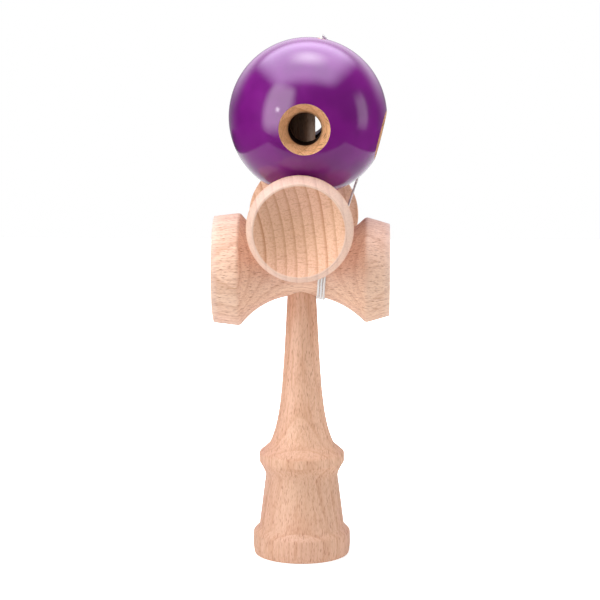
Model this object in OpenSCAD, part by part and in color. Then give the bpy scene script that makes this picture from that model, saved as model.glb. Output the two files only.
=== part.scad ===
// Kendama with two crossed cup pieces.
// A turned ken carries two push-fit cup pieces and ends in a spike; a drilled ball stands on the spike.
// One cord is knotted in the ken, wound round the lower cup piece and led behind the ball to its top,
// where it goes down through the string hole to a bead that lets the ball spin.
// Millimetres. +Z is up and the origin is on the ken's axis, at the surface that the base cup stands on.
// The lower cup piece lies along X and the upper one along Y. The front is -Y.

/* [Ball] */
// Diameter of the ball
ball_d = 60; // [56:0.5:64]
// Diameter of the main hole, which the spike stands in
main_hole_d = 17; // [16.5:0.5:19]
// Depth of the main hole's straight wall from the lower pole of the ball
main_hole_depth = 49; // [47:0.5:51]
// Diameter of the main hole's bevel at the ball's surface
main_bevel_d = 24; // [22:0.5:26]
// Diameter of the three side holes
side_hole_d = 12.4; // [10:0.2:14]
// Diameter of a side hole's bevel at the ball's surface
side_bevel_d = 19.2; // [16:0.2:22]
// Angle between a side hole's bevel and the hole's axis, degrees
side_bevel_angle = 31; // [25:1:50]
// Distance of the side holes below the ball's middle
side_hole_drop = 2.4; // [0:0.1:4]
// Turn of the right hole from square to the front one, degrees; below 0 is to the front
right_hole_turn = -4; // [-8:1:8]
// Diameter of the string hole at the upper pole
string_hole_d = 2.8; // [2.4:0.1:3.6]
// Diameter of the string hole's countersink at the ball's surface
string_sink_d = 3.8; // [3.6:0.2:6]
// Lean of the ball to the right on the spike, degrees
lean_right = 9.5; // [7:0.5:11]
// Lean of the ball to the front on the spike, degrees
lean_front = 2; // [0:0.5:4]
// Offset of the ball's middle to the right of the ken's axis
ball_right = 2.3; // [1.5:0.1:3]
// Offset of the ball's middle to the front of the ken's axis
ball_front = 0.5; // [0.2:0.1:0.8]

/* [Cup pieces] */
// Distance from a cup piece's middle to each rim
cup_reach = 33.6; // [30:0.2:36]
// Diameter of the waist between the two cups
waist_d = 19.4; // [17:0.2:22]
// Diameter of the large cup's ridge
large_ridge_d = 43.2; // [40:0.2:46]
// Distance of the large cup's ridge from the middle
large_ridge_at = 23.6; // [22:0.2:26]
// Diameter of the large cup's rim
large_rim_d = 40.8; // [37:0.2:42]
// Diameter of the small cup's ridge
small_ridge_d = 40.5; // [37:0.5:43]
// Distance of the small cup's ridge from the middle
small_ridge_at = 24.5; // [22:0.5:26]
// Diameter of the small cup's rim
small_rim_d = 35.2; // [32:0.2:38]
// Radius of the round hollow in every cup
dish_r = 28; // [25:0.5:32]
// Width of the flat lip round a cup's hollow
cup_lip = 0.7; // [0.4:0.1:1.5]
// Rounding of the ridges
ridge_round = 0.6; // [0.3:0.1:1.2]

/* [Ken] */
// Diameter of the base ring where it meets the surface
foot_d = 36.5; // [34:0.5:40]
// Largest diameter of the base ring
base_d = 37.7; // [35:0.1:41]
// Height of the base ring
base_h = 11.2; // [9:0.2:14]
// Diameter on top of the base ring
base_top_d = 32.8; // [30:0.2:34]
// Diameter of the hollow under the base
base_dish_d = 32.8; // [29:0.2:33]
// Height of the cone above the base ring
cone_h = 19.6; // [14:0.2:24]
// Diameter at the top of the cone, under the collar
cone_top_d = 27.9; // [25:0.1:30]
// Largest diameter of the collar
collar_d = 32.9; // [30:0.1:36]
// Height of the hollow curve under the collar
collar_under_h = 5.7; // [4:0.1:8]
// Height of the collar's upright band
collar_band_h = 3.5; // [2:0.1:6]
// Height of the slope on top of the collar
collar_slope_h = 3.4; // [2:0.1:5]
// Length of the grip between the collar and the lower cup piece
grip_l = 57.7; // [45:0.1:70]
// Diameter of the neck under the lower cup piece
neck_d = 11.1; // [10.4:0.1:11.6]
// What the grip's straight taper adds to the radius at the collar
grip_taper = 2.95; // [1:0.05:4]
// What the grip's flare adds to the radius at the collar
grip_flare = 4; // [1:0.1:5]
// Length over which the flare dies away
grip_flare_l = 9.2; // [5:0.1:14]
// Length of the spike above the upper cup piece's waist
spike_l = 45.5; // [40:0.5:47]
// Diameter of the spike where its tip begins
spike_d = 10.15; // [9:0.05:10.4]
// Length of the spike's tapered tip
tip_l = 14; // [10:0.5:18]
// Diameter of the blunt end of the tip
tip_d = 4.6; // [3:0.1:6]
// Rounding of the tip
tip_round = 1.6; // [0.5:0.1:2]

/* [Cord, bead and knots] */
// Diameter of the cord
cord_d = 0.9; // [0.8:0.05:0.9]
// Distance between neighbouring turns of the winding
wind_pitch = 1.34; // [1.34:0.02:1.5]
// Diameter of the bead inside the ball
bead_d = 6.4; // [5.5:0.1:7]
// Length of the bead
bead_l = 5.6; // [4.5:0.1:6]
// Diameter of the hole through the bead
bead_hole_d = 1.6; // [1.4:0.1:2]
// Diameter of the two stopper knots
knot_d = 3; // [2.4:0.1:3.2]
// Length of a stopper knot
knot_l = 2.8; // [2:0.1:3]
// Diameter of the string hole in the lower cup piece
cup_string_hole_d = 1.9; // [1.6:0.1:2.4]
// Diameter of the pocket in the ken that holds the anchor knot
knot_pocket_d = 4; // [3.4:0.1:5]

/* [Fits] */
// Radial gap of the cup pieces on the ken's taper
fit_gap = 0.03; // [0.02:0.01:0.1]
// Gap between the two cup pieces where they meet round the ken
stack_gap = 0.15; // [0.1:0.05:0.4]
// Gap between the ball and what it rests on
rest_gap = 0.3; // [0.3:0.05:0.6]
// Gap between the bead and the end of the main hole
bead_gap = 0.3; // [0.2:0.05:0.6]
// Gap between the winding and the wood under it
wind_gap = 0.2; // [0.2:0.05:0.4]

/* [Hidden] */
$fn = 96;
// Overshoot of a cut past the face that it opens
cut = 1;
beech = "#e8bf9b";
lacquer = "#751a77";

// Radii
ball_r = ball_d/2;
waist_r = waist_d/2;
large_ridge_r = large_ridge_d/2;
small_ridge_r = small_ridge_d/2;
foot_r = foot_d/2;
base_r = base_d/2;
neck_r = neck_d/2;
spike_r = spike_d/2;
bead_r = bead_d/2;
knot_r = knot_d/2;
main_hole_r = main_hole_d/2;

// Heights on the ken, from the base up
cone_top_z = base_h + cone_h;
collar_low_z = cone_top_z + collar_under_h;
collar_high_z = collar_low_z + collar_band_h;
shoulder_z = collar_high_z + collar_slope_h;
neck_z = shoulder_z + grip_l;

// Radius of the hollow curve between a cup piece's waist and a ridge, at a distance from the middle
function flare_bow(ridge_r, ridge_at) =
    (pow(ridge_at, 2) + pow(ridge_r - waist_r, 2))/(2*(ridge_r - waist_r));
function flare_r(at, ridge_r, ridge_at) =
    let (bow = flare_bow(ridge_r, ridge_at))
    waist_r + bow - sqrt(pow(bow, 2) - pow(at, 2));

// The lower cup piece starts at the neck, where the edge of its bore is lowest
bore_edge = neck_r + fit_gap;
lower_axis_z = neck_z + flare_r(bore_edge, large_ridge_r, large_ridge_at);

// The cup pieces meet at the edge of their bores, on the diagonals between them
meet_at = bore_edge/sqrt(2);
meet_r = flare_r(meet_at, large_ridge_r, large_ridge_at);
upper_axis_z = lower_axis_z + 2*sqrt(pow(meet_r, 2) - pow(meet_at, 2)) + stack_gap;
ken_l = upper_axis_z + waist_r + spike_l;
tip_z = ken_l - tip_l;

// Radius of the ken's straight taper through the cup pieces and up the spike
function taper_r(z) = neck_r + (spike_r - neck_r)*(z - neck_z)/(tip_z - neck_z);

// The ball rests on the hollow curves of the upper cup piece, outside the main hole's bevel
rest_from = main_bevel_d/2 - 2;
rest_steps = 24;
function rest_h(ridge_r, ridge_at, shift) = max([
    for (i = [0 : rest_steps])
        let (at = rest_from + (ridge_at - rest_from)*i/rest_steps)
        flare_r(at, ridge_r, ridge_at) + sqrt(pow(ball_r + rest_gap, 2) - pow(at + shift, 2))
]);
ball_z = upper_axis_z + max(
    rest_h(large_ridge_r, large_ridge_at, ball_front),
    rest_h(small_ridge_r, small_ridge_at, -ball_front)
);

// Places on the ball's own axis, from its middle
drill_half_angle = 59;
hole_end = main_hole_depth - ball_r;
drill_point = hole_end + main_hole_r/tan(drill_half_angle);
bead_at = drill_point - (bead_r + bead_gap)/sin(drill_half_angle);
bead_face = bead_at - bead_l/2;
knot_seat_gap = 0.1;

// Places of the cord
// From the end of the winding straight up to the ball
run_points = [
    [10.6, 12.2, 114.0], [13.7, 13.1, 123.0], [16.8, 13.9, 132.0],
    [19.8, 14.8, 141.0], [22.9, 15.6, 150.0], [26.0, 16.5, 159.0]
];
// Over the back of the ball to its top, into the string hole and down to the bead's knot
over_points = [
    [26.0, 16.5, 159.0], [26.3, 16.6, 159.9], [27.1, 17.2, 164.2], [27.2, 18.0, 168.8],
    [26.5, 18.6, 173.4], [25.1, 19.0, 177.7], [23.1, 19.0, 181.9], [20.7, 18.5, 185.9],
    [18.0, 17.5, 189.5], [15.2, 15.8, 192.8], [12.4, 13.4, 195.6], [10.0, 10.1, 197.9],
    [8.4, 6.1, 199.5], [7.6, 1.6, 200.3], [7.4, -0.3, 200.2], [7.3, -1.0, 199.8],
    [7.2, -1.4, 199.1], [7.1, -1.5, 198.3], [6.5, -1.4, 194.8], [5.9, -1.3, 191.4],
    [5.1, -1.1, 186.7]
];
// Out of the string hole in the lower cup piece, from that piece's axis
exit_points = [
    [0, 5.2, 0], [0, 7.4, 0], [0, 9.8, 0], [0.4, 10.9, 0.3], [1.4, 11.4, 1.1], [2.8, 11.4, 2.3]
];
// The winding goes over the top, down the front and up the back; angles start at the back
wind_from = 32;
wind_to = 1082;
wind_step = 15;
// The first turn lies beside the neck underneath, and the turns lean away from the ken over the top
wind_beside = 0.2;
wind_lean = 1;
wind_at = neck_r + wind_beside + cord_d/2 + wind_lean - 0.75*wind_pitch;
wind_ease = 60;
cord_sides = 8;
wind_sides = 6;

function unit(v) = v/norm(v);

// Points of a curve that leaves a towards b and ends at c from b
function bend(a, b, c, steps = 8) = [
    for (i = [0 : steps])
        let (k = i/steps)
        pow(1 - k, 2)*a + 2*k*(1 - k)*b + pow(k, 2)*c
];

// Points of an arc that rounds the corner b between a and c
function rounded(a, b, c, r, steps = 5) =
    let (
        to_a = unit(a - b),
        to_c = unit(c - b),
        half = acos(to_a*to_c)/2,
        middle = b + unit(to_a + to_c)*r/sin(half),
        from = b + to_a*r/tan(half) - middle,
        to = b + to_c*r/tan(half) - middle
    )
    [for (i = [0 : steps]) middle + r*unit(from*(1 - i/steps) + to*i/steps)];

// A closed tube along points; side is any direction that the route never runs along
module tube(points, d, sides, side) {
    last = len(points) - 1;
    function along(i) = unit(points[min(i + 1, last)] - points[max(i - 1, 0)]);
    rings = [
        for (i = [0 : last])
            let (
                t = along(i),
                n = unit(side - (side*t)*t),
                b = cross(t, n)
            )
            for (k = [0 : sides - 1])
                points[i] + d/2*(cos(360*k/sides)*n + sin(360*k/sides)*b)
    ];
    walls = [
        for (i = [0 : last - 1], k = [0 : sides - 1], half = [0, 1])
            let (
                p = i*sides + k,
                q = i*sides + (k + 1) % sides
            )
            half == 0 ? [p, p + sides, q] : [q, p + sides, q + sides]
    ];
    start = [for (k = [1 : sides - 2]) [0, k, k + 1]];
    first = last*sides;
    end = [for (k = [1 : sides - 2]) [first, first + k + 1, first + k]];
    polyhedron(rings, concat(walls, start, end), convexity = 8);
}

// Ken

grip_steps = 26;
function grip_r(z) =
    neck_r + grip_taper*(neck_z - z)/grip_l
    + grip_flare*(exp(-(z - shoulder_z)/grip_flare_l) - exp(-grip_l/grip_flare_l));

foot_chamfer = 0.4;
base_belly_z = base_h*0.4;
base_turn_z = base_h*0.55;
base_brow = 0.9;
collar_edge_round = 0.4;

ken_outline = concat(
    [[0, 0], [foot_r - foot_chamfer, 0]],
    bend([foot_r, foot_chamfer], [base_r, base_h*0.22], [base_r, base_belly_z]),
    bend([base_r, base_turn_z], [base_r, base_h - base_brow], [base_top_d/2, base_h]),
    bend([cone_top_d/2, cone_top_z], [cone_top_d/2, cone_top_z + collar_under_h/3], [collar_d/2, collar_low_z]),
    rounded([collar_d/2, collar_low_z], [collar_d/2, collar_high_z], [grip_r(shoulder_z), shoulder_z],
        collar_edge_round),
    [for (i = [0 : grip_steps]) let (z = shoulder_z + grip_l*i/grip_steps) [grip_r(z), z]],
    [[spike_r, tip_z]],
    rounded([spike_r, tip_z], [tip_d/2, ken_l], [0, ken_l], tip_round),
    [[0, ken_l]]
);

module ken_handle() {
    dish_deep = sqrt(pow(dish_r, 2) - pow(base_dish_d/2, 2));
    color(beech)
    difference() {
        rotate_extrude() polygon(ken_outline);
        translate([0, 0, -dish_deep]) sphere(dish_r);
        translate([0, 0, lower_axis_z]) rotate([-90, 0, 0])
            cylinder(h = neck_r + cut, d = knot_pocket_d);
    }
}

// Cup pieces

flare_steps = 20;
function flare_points(ridge_r, ridge_at) = [
    for (i = [1 : flare_steps - 1])
        let (at = ridge_at*i/flare_steps)
        [flare_r(at, ridge_r, ridge_at), at]
];
function turned(points) = [for (i = [len(points) - 1 : -1 : 0]) [points[i][0], -points[i][1]]];

// One half of a cup piece's outline, from the waist to the rim
function cup_outline(ridge_r, ridge_at, rim_r) =
    let (flare = flare_points(ridge_r, ridge_at))
    concat(
        flare,
        rounded(flare[flare_steps - 2], [ridge_r, ridge_at], [rim_r, cup_reach], ridge_round),
        [[rim_r, cup_reach]]
    );

module cup_hollow(rim_r) {
    lip_r = rim_r - cup_lip;
    translate([0, 0, cup_reach + sqrt(pow(dish_r, 2) - pow(lip_r, 2))]) sphere(dish_r);
}

// A cup piece along Z: the small cup looks up and the large one down
module cup_piece_blank() {
    small = cup_outline(small_ridge_r, small_ridge_at, small_rim_d/2);
    large = cup_outline(large_ridge_r, large_ridge_at, large_rim_d/2);
    difference() {
        rotate_extrude()
            polygon(concat([[0, -cup_reach]], turned(large), [[waist_r, 0]], small, [[0, cup_reach]]));
        cup_hollow(small_rim_d/2);
        mirror([0, 0, 1]) cup_hollow(large_rim_d/2);
    }
}

// The tapered bore that the ken passes through, in the ken's own place
module ken_bore(axis_z) {
    low = axis_z - waist_r - cut;
    high = axis_z + waist_r + cut;
    translate([0, 0, low])
        cylinder(h = high - low, r1 = taper_r(low) + fit_gap, r2 = taper_r(high) + fit_gap);
}

module lower_cup_piece() {
    color(beech)
    difference() {
        translate([0, 0, lower_axis_z]) rotate([0, 90, 0]) cup_piece_blank();
        ken_bore(lower_axis_z);
        translate([0, 0, lower_axis_z]) rotate([-90, 0, 0])
            cylinder(h = waist_r + cut, d = cup_string_hole_d);
    }
}

module upper_cup_piece() {
    color(beech)
    difference() {
        translate([0, 0, upper_axis_z]) rotate([90, 0, 0]) cup_piece_blank();
        ken_bore(upper_axis_z);
    }
}

// Ball

module on_ball() {
    translate([ball_right, -ball_front, ball_z]) rotate([lean_front, lean_right, 0]) children();
}

// A side hole along +Z from inside the main hole, with its bevel
module side_hole() {
    bevel_r = side_bevel_d/2;
    hole_r = side_hole_d/2;
    mouth = sqrt(pow(ball_r, 2) - pow(bevel_r, 2));
    bevel_l = (bevel_r - hole_r)/tan(side_bevel_angle);
    past = ball_r - mouth + cut;
    inner = main_hole_r/2;
    translate([0, 0, inner]) cylinder(h = ball_r + cut - inner, r = hole_r);
    translate([0, 0, mouth - bevel_l])
        cylinder(h = bevel_l + past, r1 = hole_r, r2 = bevel_r + past*tan(side_bevel_angle));
}

// A 45 degree bevel along +Z that opens to a diameter at the ball's surface
module bevel(d) {
    mouth = sqrt(pow(ball_r, 2) - pow(d/2, 2));
    translate([0, 0, mouth - d/2])
        cylinder(h = d/2 + ball_r - mouth + cut, r1 = 0, r2 = d/2 + ball_r - mouth + cut);
}

module ball() {
    color(lacquer)
    on_ball()
    difference() {
        sphere(ball_r);
        translate([0, 0, -ball_r - cut]) cylinder(h = main_hole_depth + cut, r = main_hole_r);
        translate([0, 0, hole_end]) cylinder(h = drill_point - hole_end, r1 = main_hole_r, r2 = 0);
        mirror([0, 0, 1]) bevel(main_bevel_d);
        for (turn = [right_hole_turn, 90, 270])
            translate([0, 0, -side_hole_drop]) rotate([0, 90, turn]) side_hole();
        cylinder(h = ball_r + cut, d = string_hole_d);
        bevel(string_sink_d);
    }
}

// Bead and knots

module ball_bead() {
    color("burlywood")
    on_ball()
    translate([0, 0, bead_at])
    difference() {
        intersection() {
            sphere(bead_r);
            translate([0, 0, -bead_l/2]) cylinder(h = bead_l, r = bead_r);
        }
        translate([0, 0, -bead_l/2 - cut]) cylinder(h = bead_l + 2*cut, d = bead_hole_d);
    }
}

// A stopper knot of three tight wraps, from its top face down
module stopper_knot() {
    wraps = 3;
    wrap_r = knot_l/wraps/2;
    translate([0, 0, -knot_l]) cylinder(h = knot_l, r = knot_r - wrap_r);
    for (i = [0 : wraps - 1])
        translate([0, 0, -wrap_r*(2*i + 1)])
            rotate_extrude() translate([knot_r - wrap_r, 0]) circle(wrap_r);
}

module bead_knot() {
    color("ivory")
    on_ball()
    translate([0, 0, bead_face - knot_seat_gap]) stopper_knot();
}

module anchor_knot() {
    color("ivory")
    translate([0, exit_points[0][1], lower_axis_z]) rotate([-90, 0, 0]) stopper_knot();
}

// Cord

// A point of the winding at an angle from the back of the lower cup piece's waist
function wind_point(angle) =
    let (
        eased = min(angle/wind_ease, 1),
        full = wind_at + wind_pitch*angle/360 + wind_lean*sin(angle),
        x = full*eased*eased*(3 - 2*eased),
        r = flare_r(x, small_ridge_r, small_ridge_at) + wind_gap + cord_d/2
    )
    [x, r*cos(angle), lower_axis_z + r*sin(angle)];

wind_points = [for (angle = [wind_from : wind_step : wind_to]) wind_point(angle)];
run_way = unit(run_points[1] - run_points[0]);
winding_route = concat(
    [for (p = exit_points) p + [0, 0, lower_axis_z]],
    wind_points,
    [run_points[0] - 2*cord_d*run_way, run_points[0] - cord_d*run_way, run_points[0]]
);

// Least distance between points of the winding that lie half a turn or more apart, less the cord
half_turn = 180/wind_step;
wind_self_gap = min([
    for (i = [0 : len(wind_points) - 1], j = [i + half_turn : 1 : len(wind_points) - 1])
        norm(wind_points[i] - wind_points[j])
]) - cord_d;
echo(wind_self_gap = wind_self_gap);

module cord_winding() {
    color("white") tube(winding_route, cord_d, wind_sides, [1, 0, 0]);
}

module cord_run() {
    color("white") tube(run_points, cord_d, cord_sides, [1, 0, 0]);
}

module cord_over_ball() {
    color("white") tube(over_points, cord_d, cord_sides, [1, 0, 0]);
}

ken_handle();
lower_cup_piece();
upper_cup_piece();
ball();
ball_bead();
bead_knot();
anchor_knot();
cord_winding();
cord_run();
cord_over_ball();
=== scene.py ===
import math
import bpy
from mathutils import Matrix, Vector


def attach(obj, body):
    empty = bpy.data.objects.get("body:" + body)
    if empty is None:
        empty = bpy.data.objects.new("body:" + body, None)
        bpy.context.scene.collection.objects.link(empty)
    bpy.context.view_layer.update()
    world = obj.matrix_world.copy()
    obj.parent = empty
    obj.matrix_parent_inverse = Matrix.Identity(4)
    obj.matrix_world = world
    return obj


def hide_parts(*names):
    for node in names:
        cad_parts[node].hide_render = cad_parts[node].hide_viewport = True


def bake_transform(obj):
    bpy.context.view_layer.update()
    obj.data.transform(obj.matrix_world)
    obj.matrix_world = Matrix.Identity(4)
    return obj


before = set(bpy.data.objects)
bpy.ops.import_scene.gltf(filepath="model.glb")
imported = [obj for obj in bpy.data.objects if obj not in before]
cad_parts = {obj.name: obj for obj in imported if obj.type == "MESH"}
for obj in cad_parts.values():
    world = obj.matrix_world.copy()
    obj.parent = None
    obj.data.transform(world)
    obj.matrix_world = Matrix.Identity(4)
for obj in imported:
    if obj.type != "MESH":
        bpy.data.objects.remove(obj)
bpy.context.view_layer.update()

# shapes are planned in millimetres; looks, camera and lamps in metres
mm = 0.001
weldGap = 2e-7  # points of a turned piece that lie closer become one
lowerAxis = 111.335  # height of the lower cup piece's middle
upperAxis = 129.79  # height of the upper one's
ballCentre = (2.3, -0.5, 169.778)
ballTurn = (math.radians(2), math.radians(9.5), 0)  # the ball leans front and right on the spike


# camera: a long lens, a little above the toy
cameraPlan = {
    "lens": 122.4,
    "sensor": 36,
    "clip": (0.05, 20),
    "distance": 0.784,
    "azimuth": 1.8,
    "elevation": 8.7,
    "target": (-0.0007, 0.0, 0.0995),
}


def makeCamera(plan):
    a, e = math.radians(plan["azimuth"]), math.radians(plan["elevation"])
    back = Vector((math.sin(a) * math.cos(e), -math.cos(a) * math.cos(e), math.sin(e)))
    camera = bpy.data.objects.new("photoCamera", bpy.data.cameras.new("photoCamera"))
    camera.data.lens = plan["lens"]
    camera.data.sensor_width = plan["sensor"]
    camera.data.clip_start, camera.data.clip_end = plan["clip"]
    camera.location = Vector(plan["target"]) + back * plan["distance"]
    camera.rotation_euler = back.to_track_quat("Z", "Y").to_euler()
    bpy.context.scene.collection.objects.link(camera)
    bpy.context.scene.camera = camera


makeCamera(cameraPlan)
print("camera set")


# cord: knotted in the ken, wound on the lower cup piece, over the ball and down to the bead
cordPlan = {
    "diameter": 1.0,
    "length": 0.345,  # metres, from knot to knot
    "strands": 3,
    "strandAt": 0.536,  # where the strands' middles lie, as a share of the radius
    "layLength": 4.4,
    "groove": 0.86,
    "sides": 15,
    "ringStep": 0.33,
    "exit": [(0, 5.2, 0), (0, 7.4, 0), (0, 9.8, 0), (0.4, 10.9, 0.3), (1.4, 11.4, 1.1), (2.8, 11.4, 2.3)],
    "windFrom": 32,
    "windTo": 1082,
    "windStep": 6,
    "windAt": 6.39,
    "windPitch": 1.08,
    "windLean": 1.0,
    "windEase": 60,
    "windOut": 0.6,
    "run": [
        (10.6, 12.2, 114.0), (13.7, 13.1, 123.0), (16.8, 13.9, 132.0), (19.8, 14.8, 141.0), (22.9, 15.6, 150.0),
    ],
    "over": [
        (26.0, 16.5, 159.0), (27.1, 17.2, 164.2), (27.2, 18.0, 168.8), (26.5, 18.6, 173.4), (25.1, 19.0, 177.7),
        (23.1, 19.0, 181.9), (20.7, 18.5, 185.9), (18.0, 17.5, 189.5), (15.2, 15.8, 192.8), (12.4, 13.4, 195.6),
        (10.0, 10.1, 197.9), (8.4, 6.1, 199.5), (7.6, 1.6, 200.3), (7.4, -0.3, 200.2), (7.3, -1.0, 199.8),
        (7.2, -1.4, 199.1), (7.1, -1.5, 198.3), (6.5, -1.4, 194.8), (5.9, -1.3, 191.4), (5.1, -1.1, 186.7),
    ],
}

cupPlan = {
    "reach": 33.6,
    "waist": 9.7,
    "largeRidge": 21.6,
    "largeRidgeAt": 23.6,
    "largeRim": 20.4,
    "smallRidge": 20.25,
    "smallRidgeAt": 24.5,
    "smallRim": 17.6,
    "dish": 28.0,
    "lip": 0.7,
    "ridgeRound": 1.8,
    "rimRound": 0.22,
    "lipRound": 0.176,
    "boreGap": 0.03,
    "boreOver": 1,  # how far the bore's tool reaches past the waist
    "stringHole": {"radius": 0.95, "depth": 8, "at": 8.0, "vertices": 32},
    "flareSteps": 40,
    "boreSteps": 128,
    "steps": 160,
    "smooth": 38,
}


def flareRadius(at, ridge, ridgeAt):
    rise = ridge - cupPlan["waist"]
    bow = (ridgeAt ** 2 + rise ** 2) / (2 * rise)
    return cupPlan["waist"] + bow - math.sqrt(bow ** 2 - at ** 2)


def windPoint(angle):
    plan = cordPlan
    eased = min(angle / plan["windEase"], 1)
    turn = math.radians(angle)
    x = plan["windAt"] + plan["windPitch"] * angle / 360 + plan["windLean"] * math.sin(turn)
    x *= eased * eased * (3 - 2 * eased)
    r = flareRadius(x, cupPlan["smallRidge"], cupPlan["smallRidgeAt"]) + plan["windOut"]
    return (x, r * math.cos(turn), lowerAxis + r * math.sin(turn))


def smoothLine(points, step, parts=12):
    # a curve through the points, then points along it at an even step
    pts = [Vector(p) for p in points]
    fine = []
    for i in range(len(pts) - 1):
        p0, p1, p2, p3 = pts[max(i - 1, 0)], pts[i], pts[i + 1], pts[min(i + 2, len(pts) - 1)]
        t1 = max((p1 - p0).length, 1e-6) ** 0.5
        t2 = (p2 - p1).length ** 0.5
        t3 = max((p3 - p2).length, 1e-6) ** 0.5
        m1 = m2 = p2 - p1
        if p0 != p1:
            m1 = t2 * ((p1 - p0) / t1 - (p2 - p0) / (t1 + t2) + (p2 - p1) / t2)
        if p3 != p2:
            m2 = t2 * ((p2 - p1) / t2 - (p3 - p1) / (t2 + t3) + (p3 - p2) / t3)
        for k in range(parts):
            u = k / parts
            fine.append(
                (2 * u ** 3 - 3 * u ** 2 + 1) * p1 + (u ** 3 - 2 * u ** 2 + u) * m1
                + (3 * u ** 2 - 2 * u ** 3) * p2 + (u ** 3 - u ** 2) * m2
            )
    fine.append(pts[-1])
    along = [0.0]
    for a, b in zip(fine, fine[1:]):
        along.append(along[-1] + (b - a).length)
    count = max(4, round(along[-1] / step))
    line, j = [], 0
    for k in range(count + 1):
        s = along[-1] * k / count
        while j < len(fine) - 2 and along[j + 1] < s:
            j += 1
        line.append(fine[j].lerp(fine[j + 1], (s - along[j]) / max(along[j + 1] - along[j], 1e-9)))
    return line, along[-1] / count


def strandReach(turn, rad, plan):
    # how far the laid strands reach from the cord's middle at this turn round it
    strandAt = rad * plan["strandAt"]
    strandRad = rad - strandAt
    off = (turn * plan["strands"] / math.tau) % 1 - 0.5
    away = off * math.tau / plan["strands"]
    room = strandRad ** 2 - (strandAt * math.sin(away)) ** 2
    return max(strandAt * math.cos(away) + math.sqrt(max(room, 0)), rad * plan["groove"])


def twistedCord(name, points, diameter, plan):
    # strands laid round the line, with a UV map that runs along the cord
    line, step = smoothLine(points, plan["ringStep"])
    sides = plan["sides"]
    turns = [math.tau * k / sides for k in range(sides)]
    reaches = [strandReach(turn, diameter / 2, plan) for turn in turns]
    verts, faces, uvs = [], [], []
    side = None
    for i, p in enumerate(line):
        way = (line[min(i + 1, len(line) - 1)] - line[max(i - 1, 0)]).normalized()
        if side is None:
            side = way.orthogonal()
        side = (side - way * side.dot(way)).normalized()
        across = way.cross(side)
        lay = math.tau * i * step / plan["layLength"]
        for turn, r in zip(turns, reaches):
            verts.append((p + (side * math.cos(turn + lay) + across * math.sin(turn + lay)) * r) * mm)
    for i in range(len(line) - 1):
        for k in range(sides):
            a, b = i * sides + k, i * sides + (k + 1) % sides
            faces.append((a, b, b + sides, a + sides))
            u0, u1 = k / sides, (k + 1) / sides
            v0, v1 = i * step * mm, (i + 1) * step * mm
            uvs += [(u0, v0), (u1, v0), (u1, v1), (u0, v1)]
    last = (len(line) - 1) * sides
    faces.append(tuple(range(sides - 1, -1, -1)))
    faces.append(tuple(range(last, last + sides)))
    uvs += [(0, 0)] * (2 * sides)
    mesh = bpy.data.meshes.new(name)
    mesh.from_pydata(verts, [], faces)
    layer = mesh.uv_layers.new(name="alongCord")
    for corner, uv in zip(layer.data, uvs):
        corner.uv = uv
    mesh.polygons.foreach_set("use_smooth", [len(f) == 4 for f in faces])
    piece = bpy.data.objects.new(name, mesh)
    bpy.context.scene.collection.objects.link(piece)
    return piece, [tuple(p * mm) for p in line]


def cordRoute(plan):
    start = [(x, y, z + lowerAxis) for x, y, z in plan["exit"]]
    wound = [windPoint(angle) for angle in range(plan["windFrom"], plan["windTo"] + 1, plan["windStep"])]
    return start + wound + plan["run"] + plan["over"]


cord, cordPath = twistedCord("cord", cordRoute(cordPlan), cordPlan["diameter"], cordPlan)
cordLaid = sum((Vector(b) - Vector(a)).length for a, b in zip(cordPath, cordPath[1:]))
print("cord laid,", len(cordPath), "rings,", round(cordLaid, 4), "m")


# knots: wraps of the cord round itself; lead and tail are where its ends lie, as shares of the wraps' radius
knotPlan = {"radius": 1.5, "length": 2.8, "wraps": 3, "strand": 0.95, "wrapSteps": 14, "lead": 0.35, "tail": (0.3, 0.2)}


def wrappedKnot(name, plan, turn, seat):
    half = plan["strand"] / 2
    wrapAt = plan["radius"] - half
    count = plan["wrapSteps"] * plan["wraps"]
    points = [(wrapAt * plan["lead"], 0, -half)]
    for k in range(count + 1):
        angle = math.tau * plan["wraps"] * k / count
        down = half + (plan["length"] - plan["strand"]) * k / count
        points.append((wrapAt * math.cos(angle), wrapAt * math.sin(angle), -down))
    points.append((wrapAt * plan["tail"][0], wrapAt * plan["tail"][1], half - plan["length"]))
    placed = [Matrix(turn) @ Vector(p) + Vector(seat) for p in points]
    knot, _ = twistedCord(name, placed, plan["strand"], cordPlan)
    return knot


def ballMatrix():
    return Matrix.Rotation(ballTurn[1], 3, "Y") @ Matrix.Rotation(ballTurn[0], 3, "X")


def ballPlace(up):
    # a place on the ball's own axis
    return Vector(ballCentre) + ballMatrix() @ Vector((0, 0, up))


beadPlan = {
    "radius": 3.2, "half": 2.8, "hole": 0.8, "at": 20.024, "edge": 0.25, "faceEdge": 0.1, "knotGap": 0.1,
    "bellySteps": 16, "steps": 48, "smooth": 40,
}
knotTop = ballPlace(beadPlan["at"] - beadPlan["half"] - beadPlan["knotGap"])
beadKnot = wrappedKnot("beadKnot", knotPlan, ballMatrix(), knotTop)
anchorKnot = wrappedKnot("anchorKnot", knotPlan, Matrix.Rotation(math.radians(-90), 3, "X"), cordRoute(cordPlan)[0])
print("knots tied")


# turning: an outline is drawn point by point, then spun about the axis
def pickOnly(piece):
    bpy.ops.object.select_all(action="DESELECT")
    piece.select_set(True)
    bpy.context.view_layer.objects.active = piece


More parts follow.
